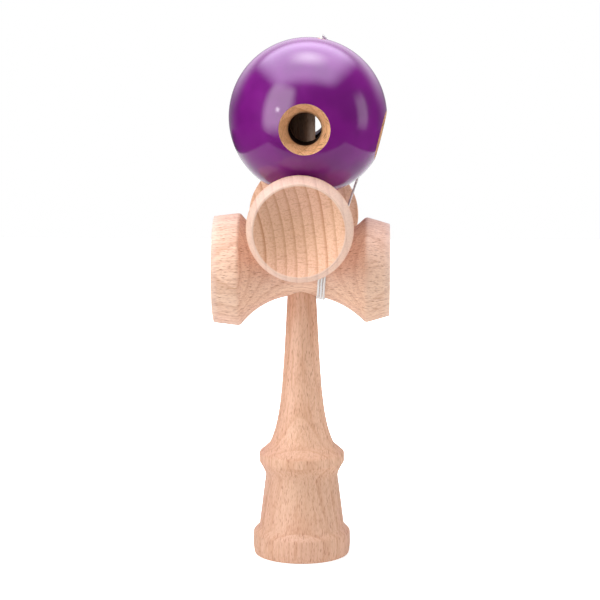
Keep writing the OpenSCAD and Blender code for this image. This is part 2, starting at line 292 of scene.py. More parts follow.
def turnOnLathe(name, outline, steps):
    bpy.ops.object.select_all(action="DESELECT")
    bpy.ops.mesh.primitive_plane_add(size=mm, location=(0, 0, 0))
    piece = bpy.context.object
    piece.name = piece.data.name = name
    bpy.ops.object.mode_set(mode="EDIT")
    bpy.ops.mesh.select_all(action="SELECT")
    bpy.ops.mesh.merge(type="CENTER")
    bpy.ops.transform.translate(value=(outline[0][0] * mm, 0, outline[0][1] * mm))
    for (r0, z0), (r1, z1) in zip(outline, outline[1:]):
        stepOn = {"value": ((r1 - r0) * mm, 0, (z1 - z0) * mm)}
        bpy.ops.mesh.extrude_vertices_move(TRANSFORM_OT_translate=stepOn)
    bpy.ops.mesh.select_all(action="SELECT")
    bpy.ops.mesh.spin(steps=steps, angle=math.tau, center=(0, 0, 0), axis=(0, 0, 1))
    bpy.ops.mesh.select_all(action="SELECT")
    bpy.ops.mesh.remove_doubles(threshold=weldGap)
    bpy.ops.mesh.normals_make_consistent(inside=False)
    bpy.ops.object.mode_set(mode="OBJECT")
    return piece


def putInPlace(piece, turn, place):
    pickOnly(piece)
    piece.rotation_euler = turn
    piece.location = [v * mm for v in place]
    bpy.ops.object.transform_apply(location=True, rotation=True, scale=True)


def makeDrill(plan, height):
    # a plain drill along Y
    bpy.ops.object.select_all(action="DESELECT")
    bpy.ops.mesh.primitive_cylinder_add(vertices=plan["vertices"], radius=plan["radius"] * mm, depth=plan["depth"] * mm)
    drill = bpy.context.object
    putInPlace(drill, (math.radians(90), 0, 0), (0, plan["at"], height))
    return drill


def carve(piece, cutters):
    for cutter in cutters:
        cut = piece.modifiers.new("cut", "BOOLEAN")
        cut.operation, cut.solver, cut.object = "DIFFERENCE", "EXACT", cutter
        pickOnly(piece)
        bpy.ops.object.modifier_apply(modifier=cut.name)
        bpy.data.objects.remove(cutter)


def smoothFaces(piece, angle):
    pickOnly(piece)
    bpy.ops.object.shade_smooth_by_angle(angle=math.radians(angle))


def roundedCorner(a, b, c, r, steps=6):
    a, b, c = Vector(a), Vector(b), Vector(c)
    toA, toC = (a - b).normalized(), (c - b).normalized()
    half = toA.angle(toC) / 2
    middle = b + (toA + toC).normalized() * r / math.sin(half)
    start, end = b + toA * r / math.tan(half) - middle, b + toC * r / math.tan(half) - middle
    return [tuple(middle + start.lerp(end, i / steps).normalized() * r) for i in range(steps + 1)]


def bendLine(a, b, c, steps=10):
    a, b, c = Vector(a), Vector(b), Vector(c)
    shares = [i / steps for i in range(steps + 1)]
    return [tuple((1 - k) ** 2 * a + 2 * k * (1 - k) * b + k * k * c) for k in shares]


def dishLine(centre, radius, lipRadius, lipAt, steps=26):
    # from the middle of a hollow out to its lip
    end = math.asin(lipRadius / radius)
    deep = -radius if lipAt < centre else radius
    angles = [end * i / steps for i in range(steps + 1)]
    return [(radius * math.sin(a), centre + deep * math.cos(a)) for a in angles]


# ken: base cup, cone, collar, grip, straight taper and spike
# footLean, swellAim and swellTop are shares of the base's height
kenPlan = {
    "foot": 18.25, "footRound": 0.5, "footLean": 0.2, "footOut": 0.14, "footUp": 0.45,
    "base": 18.85, "baseIn": 0.06, "baseHeight": 11.2, "baseTop": 16.4, "baseEdge": 8.75, "baseRound": 2.0,
    "swellAim": 0.22, "swellTop": 0.4,
    "dish": 28.0, "dishEdge": 16.4,
    "coneTop": 13.95, "coneHeight": 19.6,
    "collar": 16.45, "collarUnder": 5.7, "collarBand": 3.5, "collarSlope": 3.4,
    "collarRound": 1.2, "collarLowRound": 1.6, "collarSteps": 14,
    "grip": 57.7, "neck": 5.55, "gripTaper": 2.95, "gripFlare": 4.0, "gripFlareOver": 9.2, "gripSteps": 44,
    "spike": 5.075, "spikeAbove": 45.5, "tipLength": 14.0, "tip": 2.3, "tipRound": 1.6, "tipSteps": 10,
    "pocket": {"radius": 2.0, "depth": 8, "at": 4.0, "vertices": 48},
    "steps": 160, "smooth": 38,
}


def kenHeights(plan):
    at = {"coneTop": plan["baseHeight"] + plan["coneHeight"]}
    at["collarLow"] = at["coneTop"] + plan["collarUnder"]
    at["collarHigh"] = at["collarLow"] + plan["collarBand"]
    at["shoulder"] = at["collarHigh"] + plan["collarSlope"]
    at["neck"] = at["shoulder"] + plan["grip"]
    at["top"] = upperAxis + cupPlan["waist"] + plan["spikeAbove"]
    at["tip"] = at["top"] - plan["tipLength"]
    return at


def kenOutline(plan):
    at = kenHeights(plan)

    def gripRadius(z):
        flareOver = plan["gripFlareOver"]
        fade = math.exp(-(z - at["shoulder"]) / flareOver) - math.exp(-plan["grip"] / flareOver)
        return plan["neck"] + plan["gripTaper"] * (at["neck"] - z) / plan["grip"] + plan["gripFlare"] * fade

    high, base = plan["baseHeight"], plan["base"]
    swellTop = (base, high * plan["swellTop"])
    under = math.sqrt(plan["dish"] ** 2 - plan["dishEdge"] ** 2)
    outline = dishLine(-under, plan["dish"], plan["dishEdge"], 0.0)
    outline += roundedCorner(
        (plan["dishEdge"], 0), (plan["foot"], 0), (base, high * plan["footLean"]), plan["footRound"])
    outline += bendLine((plan["foot"] + plan["footOut"], plan["footUp"]), (base, high * plan["swellAim"]), swellTop)
    outline += roundedCorner(
        swellTop, (base - plan["baseIn"], plan["baseEdge"]), (plan["baseTop"], high), plan["baseRound"])
    outline += [(plan["baseTop"], high)]
    bend = (plan["coneTop"], at["coneTop"] + plan["collarUnder"] / 3)
    low, top = (plan["collar"], at["collarLow"]), (plan["collar"], at["collarHigh"])
    outline += bendLine((plan["coneTop"], at["coneTop"]), bend, low, plan["collarSteps"])[:-1]
    outline += roundedCorner(bend, low, top, plan["collarLowRound"])
    outline += roundedCorner(low, top, (gripRadius(at["shoulder"]), at["shoulder"]), plan["collarRound"])
    levels = [at["shoulder"] + plan["grip"] * i / plan["gripSteps"] for i in range(plan["gripSteps"] + 1)]
    outline += [(gripRadius(z), z) for z in levels]
    spikeEnd = (plan["spike"], at["tip"])
    outline += [spikeEnd]
    outline += roundedCorner(spikeEnd, (plan["tip"], at["top"]), (0, at["top"]), plan["tipRound"], plan["tipSteps"])
    return outline + [(0, at["top"])]


def makeKen(plan):
    ken = turnOnLathe("kenBody", kenOutline(plan), plan["steps"])
    carve(ken, [makeDrill(plan["pocket"], lowerAxis)])
    smoothFaces(ken, plan["smooth"])
    return ken


ken = makeKen(kenPlan)
print("ken turned,", len(ken.data.polygons), "faces")


# cup pieces: two dished cups on one waist, bored for the ken
def cupHalf(ridge, ridgeAt, rim, plan):
    heights = [ridgeAt * i / plan["flareSteps"] for i in range(1, plan["flareSteps"])]
    outline = [(flareRadius(z, ridge, ridgeAt), z) for z in heights]
    lip, reach = rim - plan["lip"], plan["reach"]
    dishMiddle = reach + math.sqrt(plan["dish"] ** 2 - lip ** 2)
    inner = dishLine(dishMiddle, plan["dish"], lip, reach)
    outline += roundedCorner(outline[-1], (ridge, ridgeAt), (rim, reach), plan["ridgeRound"])
    outline += roundedCorner((ridge, ridgeAt), (rim, reach), (lip, reach), plan["rimRound"], 4)
    outline += roundedCorner((rim, reach), (lip, reach), inner[-3], plan["lipRound"], 4)
    return outline + list(reversed(inner[:-1]))


def taperRadius(z, plan):
    at = kenHeights(plan)
    return plan["neck"] + (plan["spike"] - plan["neck"]) * (z - at["neck"]) / (at["tip"] - at["neck"])


def makeBore(axis, plan):
    low, high = axis - plan["waist"] - plan["boreOver"], axis + plan["waist"] + plan["boreOver"]
    wide, narrow = [(taperRadius(z, kenPlan) + plan["boreGap"]) * mm for z in (low, high)]
    bpy.ops.object.select_all(action="DESELECT")
    bpy.ops.mesh.primitive_cone_add(
        vertices=plan["boreSteps"], radius1=wide, radius2=narrow, depth=(high - low) * mm, location=(0, 0, axis * mm))
    return bpy.context.object


def makeCupPiece(name, axis, turn, plan, strung):
    small = cupHalf(plan["smallRidge"], plan["smallRidgeAt"], plan["smallRim"], plan)
    large = cupHalf(plan["largeRidge"], plan["largeRidgeAt"], plan["largeRim"], plan)
    outline = [(r, -z) for r, z in reversed(large)] + [(plan["waist"], 0)] + small
    piece = turnOnLathe(name, outline, plan["steps"])
    putInPlace(piece, turn, (0, 0, axis))
    cutters = [makeBore(axis, plan)]
    if strung:
        cutters.append(makeDrill(plan["stringHole"], axis))
    carve(piece, cutters)
    smoothFaces(piece, plan["smooth"])
    return piece


lowerCups = makeCupPiece("lowerCups", lowerAxis, (0, math.radians(90), 0), cupPlan, True)
upperCups = makeCupPiece("upperCups", upperAxis, (math.radians(90), 0, 0), cupPlan, False)
print("cup pieces turned")


# ball: drilled from below, with three bevelled side holes and a string hole on top
ballPlan = {
    "radius": 30.0, "mainHole": 8.5, "mainBevel": 12.0, "holeEnd": 19.0, "drillTip": 24.107,
    "sideHole": 6.2, "sideBevel": 9.6, "bevelAngle": 31, "sideDrop": 2.4, "sideFrom": 4.25, "sideTurns": (-4, 90, 270),
    "stringHole": 1.4, "stringSink": 1.9, "stringFrom": 18,
    "toolPast": 1.5, "segments": 192, "toolSteps": 128, "stringSteps": 48, "smooth": 24,
}


def makeBall(plan):
    rad, past, segments = plan["radius"], plan["radius"] + plan["toolPast"], plan["segments"]
    bpy.ops.object.select_all(action="DESELECT")
    bpy.ops.mesh.primitive_uv_sphere_add(segments=segments, ring_count=segments // 2, radius=rad * mm)
    ball = bpy.context.object
    ball.name = ball.data.name = "lacquerBall"

    def mouthAt(bevel):
        return math.sqrt(rad ** 2 - bevel ** 2)

    def sunkTool(name, hole, bevel, start, slope, steps):
        # a drill from a place inside the ball that widens at the skin
        mouth = mouthAt(bevel)
        return turnOnLathe(name, [
            (0, start), (hole, start), (hole, mouth - (bevel - hole) / slope), (bevel, mouth),
            (bevel + (past - mouth) * slope, past), (0, past)], steps)

    bevel, hole = plan["mainBevel"], plan["mainHole"]
    mouth = mouthAt(bevel)
    tools = [turnOnLathe("mainTool", [
        (0, -past), (bevel + past - mouth, -past), (bevel, -mouth), (hole, -mouth + bevel - hole),
        (hole, plan["holeEnd"]), (0, plan["drillTip"])], plan["toolSteps"])]
    slope = math.tan(math.radians(plan["bevelAngle"]))
    for turn in plan["sideTurns"]:
        tool = sunkTool("sideTool", plan["sideHole"], plan["sideBevel"], plan["sideFrom"], slope, plan["toolSteps"])
        putInPlace(tool, (0, math.radians(90), math.radians(turn)), (0, 0, -plan["sideDrop"]))
        tools.append(tool)
    tools.append(sunkTool(
        "stringTool", plan["stringHole"], plan["stringSink"], plan["stringFrom"], 1.0, plan["stringSteps"]))
    carve(ball, tools)
    putInPlace(ball, ballTurn, ballCentre)
    smoothFaces(ball, plan["smooth"])
    return ball


ball = makeBall(ballPlan)
print("ball drilled,", len(ball.data.polygons), "faces")


def makeBead(plan):
    half, hole, edge = plan["half"], plan["hole"], plan["edge"]
    face = math.sqrt(plan["radius"] ** 2 - half ** 2) - plan["faceEdge"]
    end, count = math.asin(half / plan["radius"]), plan["bellySteps"]
    angles = [end * i / count for i in range(1 - count, count)]
    belly = [(plan["radius"] * math.cos(a), plan["radius"] * math.sin(a)) for a in angles]
    outline = [(hole, edge - half), (hole + edge, -half), (face, -half)] + belly
    outline += [(face, half), (hole + edge, half), (hole, half - edge)]
    bead = turnOnLathe("stringBead", outline + outline[:1], plan["steps"])
    putInPlace(bead, ballTurn, ballPlace(plan["at"]))
    smoothFaces(bead, plan["smooth"])
    return bead


bead = makeBead(beadPlan)
print("bead turned")


# shader helpers
def linear(r, g, b):
    shares = (r / 255, g / 255, b / 255)
    return tuple(v / 12.92 if v <= 0.04045 else ((v + 0.055) / 1.055) ** 2.4 for v in shares) + (1,)


def feed(tree, node, feeds):
    for key, value in feeds.items():
        if isinstance(value, bpy.types.NodeSocket):
            tree.links.new(value, node.inputs[key])
        else:
            node.inputs[key].default_value = value


def addNode(tree, kind, feeds=None, **settings):
    node = tree.nodes.new(kind)
    for key, value in settings.items():
        setattr(node, key, value)
    feed(tree, node, feeds or {})
    return node


def calc(tree, operation, *values):
    return addNode(tree, "ShaderNodeMath", dict(enumerate(values)), operation=operation).outputs[0]


def plus(tree, a, b):
    return calc(tree, "ADD", a, b)


def minus(tree, a, b):
    return calc(tree, "SUBTRACT", a, b)


def times(tree, a, b):
    return calc(tree, "MULTIPLY", a, b)


def over(tree, a, b):
    return calc(tree, "DIVIDE", a, b)


def ramp(tree, value, low, high, toLow=0.0, toHigh=1.0):
    feeds = {"Value": value, "From Min": low, "From Max": high, "To Min": toLow, "To Max": toHigh}
    return addNode(tree, "ShaderNodeMapRange", feeds, interpolation_type="SMOOTHSTEP").outputs["Result"]


def mixColour(tree, factor, a, b, blend="MIX"):
    return addNode(tree, "ShaderNodeMix", {0: factor, 6: a, 7: b}, data_type="RGBA", blend_type=blend).outputs[2]


def mixValue(tree, factor, a, b):
    return addNode(tree, "ShaderNodeMix", {0: factor, 2: a, 3: b}, data_type="FLOAT").outputs[0]


def noise(tree, place, scale, detail, roughness=0.5):
    feeds = {"Vector": place, "Scale": scale, "Detail": detail, "Roughness": roughness}
    return addNode(tree, "ShaderNodeTexNoise", feeds).outputs["Fac"]


def objectPlace(tree):
    return addNode(tree, "ShaderNodeTexCoord").outputs["Object"]


def splitPlace(tree, place):
    return addNode(tree, "ShaderNodeSeparateXYZ", {0: place}).outputs


def joinPlace(tree, x, y, z=0.0):
    return addNode(tree, "ShaderNodeCombineXYZ", {0: x, 1: y, 2: z}).outputs[0]


def lengthOf(tree, vector):
    return addNode(tree, "ShaderNodeVectorMath", {0: vector}, operation="LENGTH").outputs["Value"]


def addBump(tree, strength, distance, height):
    feeds = {"Strength": strength, "Distance": distance, "Height": height}
    return addNode(tree, "ShaderNodeBump", feeds).outputs[0]


def newGroup(name, inputs, outputs):
    group = bpy.data.node_groups.new(name, "ShaderNodeTree")
    for label, kind, value in inputs:
        socket = group.interface.new_socket(label, in_out="INPUT", socket_type=kind)
        if value is not None:
            socket.default_value = value
    for label, kind in outputs:
        group.interface.new_socket(label, in_out="OUTPUT", socket_type=kind)
    return group, group.nodes.new("NodeGroupInput"), group.nodes.new("NodeGroupOutput")


def newMaterial(name):
    material = bpy.data.materials.new(name)
    material.use_nodes = True
    tree = material.node_tree
    tree.nodes.clear()
    out = tree.nodes.new("ShaderNodeOutputMaterial")
    surface = tree.nodes.new("ShaderNodeBsdfPrincipled")
    tree.links.new(surface.outputs[0], out.inputs["Surface"])
    return material, tree, surface


# beech: growth rings round a far heart, ray flecks and fine fibre, all along +Z of the place it is given
# the rows of four numbers map a range of the noise to a range of its effect
grainPlan = {
    "ringWidth": 0.0037, "ringAmount": 0.8, "ringFaintest": 0.45, "ringGrow": 0.2,
    "lateFrom": 0.6, "lateFull": 0.95, "lateEdge": 0.955,
    "pale": linear(244, 201, 175), "deep": linear(202, 138, 99), "fleck": linear(172, 99, 65), "fleckAmount": 0.75,
    "slowAlong": 0.25, "wanderScale": 34.0, "wanderReach": 0.0024,
    "rayArc": 0.085, "rayBend": 0.004, "rayTone": (0.15, 0.75, 0.15, 1.0),
    "coarseRays": {"width": 0.00046, "deep": 0.0085, "long": 0.0034, "size": 0.33, "soft": 0.3, "shift": 0.0},
    "fineRays": {"width": 0.00027, "deep": 0.005, "long": 0.0019, "size": 0.40, "soft": 0.25, "shift": 0.013},
    "fineAmount": 0.7,
    "fibreAlong": 0.045, "streakScale": 1300.0, "streakTone": (0.42, 0.70, 0.0, 0.42),
    "poreScale": 5200.0, "poreTone": (0.52, 0.8, 0.0, 0.34),
    "broadScale": 38.0, "rosy": (1.02, 0.985, 0.99, 1), "golden": (1.01, 1.005, 0.955, 1),
    "roughness": (0.3, 0.7, 0.46, 0.56), "rayRoughness": 0.08,
    "streakHeight": 0.35, "rayDepth": 0.6, "lateDepth": 0.06,
}


def makeBeechGrain(plan):
    t, take, give = newGroup("beechGrain", [
        ("Place", "NodeSocketVector", None),
        ("Ring Width", "NodeSocketFloat", plan["ringWidth"]),
        ("Pale", "NodeSocketColor", plan["pale"]),
        ("Deep", "NodeSocketColor", plan["deep"]),
        ("Fleck", "NodeSocketColor", plan["fleck"]),
        ("Fleck Amount", "NodeSocketFloat", plan["fleckAmount"]),
        ("Ring Amount", "NodeSocketFloat", plan["ringAmount"]),
    ], [("Colour", "NodeSocketColor"), ("Roughness", "NodeSocketFloat"), ("Height", "NodeSocketFloat")])
    asked = take.outputs
    x, y, z = splitPlace(t, asked["Place"])
    heart = calc(t, "SQRT", plus(t, times(t, x, x), times(t, y, y)))
    # slow wander of the rings, longer along the grain
    slow = joinPlace(t, x, y, times(t, z, plan["slowAlong"]))
    sway = minus(t, noise(t, slow, plan["wanderScale"], 1.0, 0.4), 0.5)
    rings = over(t, plus(t, heart, times(t, sway, plan["wanderReach"])), asked["Ring Width"])
    within = calc(t, "FRACT", rings)
    each = addNode(t, "ShaderNodeTexWhiteNoise", {"W": calc(t, "FLOOR", rings)}, noise_dimensions="1D").outputs["Value"]
    late = times(t, ramp(t, within, plan["lateFrom"], plan["lateFull"]), ramp(t, within, 1.0, plan["lateEdge"]))
    grow = ramp(t, within, 0.0, 0.9, 0.0, plan["ringGrow"])
    dark = times(t, late, ramp(t, each, 0.0, 1.0, plan["ringFaintest"], 1.0))
    ringMask = times(t, plus(t, dark, grow), asked["Ring Amount"])
    # rays: thin lenses, long towards the heart and short along the grain
    across = plus(t, times(t, calc(t, "ARCTAN2", y, x), plan["rayArc"]), times(t, sway, plan["rayBend"]))

    def rays(width, deep, long, size, soft, shift):
        cell = joinPlace(t, over(t, plus(t, across, shift), width), over(t, heart, deep), over(t, z, long))
        cells = addNode(t, "ShaderNodeTexVoronoi", {"Vector": cell, "Scale": 1.0, "Randomness": 1.0}, feature="F1")
        lens = ramp(t, cells.outputs["Distance"], size, size * soft)
        tone = addNode(t, "ShaderNodeSeparateColor", {0: cells.outputs["Color"]}).outputs[0]
        return times(t, lens, ramp(t, tone, *plan["rayTone"]))

    coarse, fine = rays(**plan["coarseRays"]), rays(**plan["fineRays"])
    flecks = calc(t, "MINIMUM", plus(t, coarse, times(t, fine, plan["fineAmount"])), 1.0)
    rayMask = times(t, flecks, asked["Fleck Amount"])
    # fibre: streaks along the grain, and broad rosy and golden areas
    fibreAt = joinPlace(t, x, y, times(t, z, plan["fibreAlong"]))
    streak = noise(t, fibreAt, plan["streakScale"], 3.0, 0.65)
    pores = noise(t, fibreAt, plan["poreScale"], 1.0)
    broad = noise(t, slow, plan["broadScale"], 1.0)
    wood = mixColour(t, ringMask, asked["Pale"], asked["Deep"])
    wood = mixColour(t, ramp(t, streak, *plan["streakTone"]), wood, asked["Deep"])
    wood = mixColour(t, 1.0, wood, mixColour(t, ramp(t, broad, 0.35, 0.65), plan["rosy"], plan["golden"]), "MULTIPLY")
    wood = mixColour(t, rayMask, wood, asked["Fleck"])
    wood = mixColour(t, ramp(t, pores, *plan["poreTone"]), wood, asked["Fleck"])
    sunk = plus(t, times(t, rayMask, plan["rayDepth"]), times(t, late, plan["lateDepth"]))
    feed(t, give, {
        "Colour": wood,
        "Roughness": plus(t, ramp(t, streak, *plan["roughness"]), times(t, rayMask, plan["rayRoughness"])),
        "Height": minus(t, times(t, streak, plan["streakHeight"]), sunk),
    })
    return t


beechGrain = makeBeechGrain(grainPlan)


def addGrain(tree, turn, heart, feeds):
    turned = addNode(tree, "ShaderNodeMapping", {
        "Vector": objectPlace(tree), "Location": heart, "Rotation": [math.radians(v) for v in turn],
    }, vector_type="POINT").outputs[0]
    return addNode(tree, "ShaderNodeGroup", {"Place": turned, **feeds}, node_tree=beechGrain).outputs


# the heart of the tree lies beside each piece; the turn lays the grain along the piece
# the ken's foot is painted darker towards the bottom, as painted shade, and the cups' ends are painted paler outside
# the hollow, as painted light on the rims
beechPlan = {
    "kenBeech": {
        "turn": (0, 0, 0), "heart": (-0.006, -0.078, 0),
        "ring": 0.0038, "fleck": 0.8, "rings": 0.36, "pale": linear(239, 195, 168),
        "foot": {"tone": 0.84, "from": 0.048, "full": 0.024},
    },
    "lowerBeech": {
        "turn": (0, -90, 0), "heart": (0.098, -0.072, 0),
        "ring": 0.0036, "fleck": 0.88, "rings": 0.34, "pale": linear(252, 215, 192),
        "ends": {"along": 0, "height": lowerAxis, "from": 0.0305, "full": 0.0334, "amount": 0.3},
    },
    "upperBeech": {
        "turn": (90, 0, 0), "heart": (0.088, 0.117, 0),
        "ring": 0.0038, "fleck": 0.46, "rings": 0.74, "pale": linear(243, 198, 168),
        "ends": {"along": 1, "height": upperAxis, "from": 0.0225, "full": 0.0285, "amount": 0.48},
    },
}
# painted light: the cups' rims outside the hollow are painted paler, also where the ball shades them
paintedRimLight = {"colour": linear(252, 230, 218), "hollow": 0.0166, "rim": 0.0170}
beechBump = {"strength": 0.35, "distance": 0.00012}


def makeBeech(name, plan):
    material, tree, surface = newMaterial(name)
    grain = addGrain(tree, plan["turn"], plan["heart"], {
        "Ring Width": plan["ring"], "Pale": plan["pale"], "Fleck Amount": plan["fleck"], "Ring Amount": plan["rings"]})
    colour = grain["Colour"]
    part = splitPlace(tree, objectPlace(tree))
    # painted shade: the ken is darkened towards its foot, where less light falls
    if "foot" in plan:
        foot = plan["foot"]
        paintedFootShade = mixColour(tree, 1.0, colour, (foot["tone"], foot["tone"], foot["tone"], 1), "MULTIPLY")
        colour = mixColour(tree, ramp(tree, part[2], foot["from"], foot["full"]), colour, paintedFootShade)
    # painted light: paler towards each cup's end, outside the hollow
    if "ends" in plan:
        ends = plan["ends"]
        paintedEndLight = ramp(
            tree, calc(tree, "ABSOLUTE", part[ends["along"]]), ends["from"], ends["full"], 0.0, ends["amount"])
        out = joinPlace(tree, part[1 - ends["along"]], minus(tree, part[2], ends["height"] * mm))
        rimMask = ramp(tree, lengthOf(tree, out), paintedRimLight["hollow"], paintedRimLight["rim"])
        colour = mixColour(tree, times(tree, paintedEndLight, rimMask), colour, paintedRimLight["colour"])
    feed(tree, surface, {
        "Base Color": colour,
        "Roughness": grain["Roughness"],
        "Normal": addBump(tree, beechBump["strength"], beechBump["distance"], grain["Height"]),
        "Specular IOR Level": 0.5,
    })
    return material


beech = {name: makeBeech(name, plan) for name, plan in beechPlan.items()}

# lacquer on the ball's skin, bare wood in the bevels, and painted shade darkening the wood deeper in the holes
lacquerPlan = {
    "colour": linear(128, 24, 132),
    "deep": linear(112, 18, 117),
    "cloudScale": 60.0,
    "roughness": 0.3,
    "specular": 0.1,
    "coatRoughness": 0.05,
    "coatIor": 1.6,
    "skinInset": 0.00006,
    "skinFade": 0.00003,
    "bleed": 0.00010,
    "bleedScale": 900.0,
    "peelScale": 420.0,
    "peelHeight": 0.12,
    "dustScale": 260.0,
    "dustSize": (0.075, 0.02),
    "dustHeight": 0.5,
    "bump": 0.3,
    "bumpDistance": 0.00006,
    "heart": (0.058, -0.030, 0),
    "bare": linear(243, 193, 147),
    "bareDeep": linear(196, 142, 92),
    "bareFleck": linear(140, 92, 56),
    "fleckAmount": 1.0,
    "ringAmount": 0.6,
    "paintedHoleShade": linear(44, 20, 10),
    "holeShadeFrom": 0.0255,
    "holeShadeTo": 0.0215,
}


def makeLacquer(plan):
    material, tree, surface = newMaterial("purpleLacquer")
    place = objectPlace(tree)
    centre = [v * mm for v in ballCentre]
    fromMiddle = addNode(tree, "ShaderNodeVectorMath", {0: place, 1: centre}, operation="SUBTRACT").outputs[0]
    far = lengthOf(tree, fromMiddle)
    ragged = minus(tree, noise(tree, place, plan["bleedScale"], 2.0), 0.5)
    edge = plus(tree, far, times(tree, ragged, plan["bleed"]))
    skin = ballPlan["radius"] * mm - plan["skinInset"]
    painted = ramp(tree, edge, skin - plan["skinFade"], skin)
    grain = addGrain(tree, (0, 0, 0), plan["heart"], {
        "Pale": plan["bare"], "Deep": plan["bareDeep"], "Fleck": plan["bareFleck"],
        "Fleck Amount": plan["fleckAmount"], "Ring Amount": plan["ringAmount"]})
    cloud = ramp(tree, noise(tree, place, plan["cloudScale"], 2.0), 0.35, 0.65)
    peel = noise(tree, place, plan["peelScale"], 1.0)
    dust = addNode(tree, "ShaderNodeTexVoronoi", {"Vector": place, "Scale": plan["dustScale"]}, feature="F1")
    speck = ramp(tree, dust.outputs["Distance"], *plan["dustSize"])
    skinHeight = plus(tree, times(tree, peel, plan["peelHeight"]), times(tree, speck, plan["dustHeight"]))
    height = mixValue(tree, painted, grain["Height"], skinHeight)
    # painted shade: the bare wood deeper in the holes is painted near black, where little light reaches
    holeShadeMask = ramp(tree, far, plan["holeShadeTo"], plan["holeShadeFrom"], 1.0, 0.0)
    bare = mixColour(tree, holeShadeMask, grain["Colour"], plan["paintedHoleShade"])
    feed(tree, surface, {
        "Base Color": mixColour(tree, painted, bare, mixColour(tree, cloud, plan["deep"], plan["colour"])),
        "Roughness": mixValue(tree, painted, grain["Roughness"], plan["roughness"]),
        "Normal": addBump(tree, plan["bump"], plan["bumpDistance"], height),
        "Coat Weight": painted,
        "Coat Roughness": plan["coatRoughness"],
        "Coat IOR": plan["coatIor"],
        "Specular IOR Level": plan["specular"],
    })
    return material


lacquer = makeLacquer(lacquerPlan)

cordLook = {
    "white": linear(253, 253, 251), "shade": linear(248, 248, 247),
    "fibre": 0.00026, "fibreTwist": -9.0, "fibreAmount": 0.25, "fuzzScale": 4200.0,
    "roughness": (0.2, 0.8, 0.85, 0.7), "bump": 0.4, "bumpDistance": 0.00008,
    "sheen": 0.25, "glow": 0.5, "glowScale": 0.0005,
}


def makeCordWhite(plan):
    material, tree, surface = newMaterial("whiteCord")
    part = splitPlace(tree, addNode(tree, "ShaderNodeUVMap", uv_map="alongCord").outputs[0])
    slant = plus(tree, over(tree, part[1], plan["fibre"]), times(tree, part[0], plan["fibreTwist"]))
    threads = calc(tree, "SINE", times(tree, slant, math.tau / cordPlan["strands"]))
    fuzz = noise(tree, objectPlace(tree), plan["fuzzScale"], 2.0)
    weave = plus(tree, times(tree, threads, plan["fibreAmount"]), fuzz)
    feed(tree, surface, {
        "Base Color": mixColour(tree, ramp(tree, weave, 0.25, 0.75), plan["shade"], plan["white"]),
        "Roughness": ramp(tree, weave, *plan["roughness"]),
        "Normal": addBump(tree, plan["bump"], plan["bumpDistance"], weave),
        "Sheen Weight": plan["sheen"],
        "Subsurface Weight": plan["glow"],
        "Subsurface Radius": (1, 1, 1),
        "Subsurface Scale": plan["glowScale"],
    })
    return material


cordWhite = makeCordWhite(cordLook)

beadLook = {
    "heart": (0.03, 0.02, 0), "ring": 0.0011, "pale": linear(228, 186, 134), "deep": linear(194, 144, 94), "fleck": 0.5,
}


def makeBeadWood(plan):
    material, tree, surface = newMaterial("beadWood")
    grain = addGrain(tree, (0, 0, 0), plan["heart"], {
        "Ring Width": plan["ring"], "Pale": plan["pale"], "Deep": plan["deep"], "Fleck Amount": plan["fleck"]})
    feed(tree, surface, {"Base Color": grain["Colour"], "Roughness": grain["Roughness"]})
    return material


beadWood = makeBeadWood(beadLook)
print("materials mixed")


# dress each piece and hang it on its body
def dress(piece, material, body, slot, *nodes):
    piece.data.materials.clear()
    piece.data.materials.append(material)
    if body:
        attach(piece, body)
    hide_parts(*nodes)


dress(ken, beech["kenBeech"], "ken", "beech", "ken_handle")
dress(lowerCups, beech["lowerBeech"], "ken", "beech", "lower_cup_piece")
dress(upperCups, beech["upperBeech"], "ken", "beech", "upper_cup_piece")
dress(ball, lacquer, "ball", "lacquer", "ball")
dress(bead, beadWood, "swivel", "bead", "ball_bead")
dress(beadKnot, cordWhite, "swivel", "cord", "bead_knot")
dress(anchorKnot, cordWhite, "ken", "cord", "anchor_knot")
dress(cord, cordWhite, None, "cord", "cord_winding", "cord_run", "cord_over_ball")
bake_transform(cord)
print("pieces on their bodies")


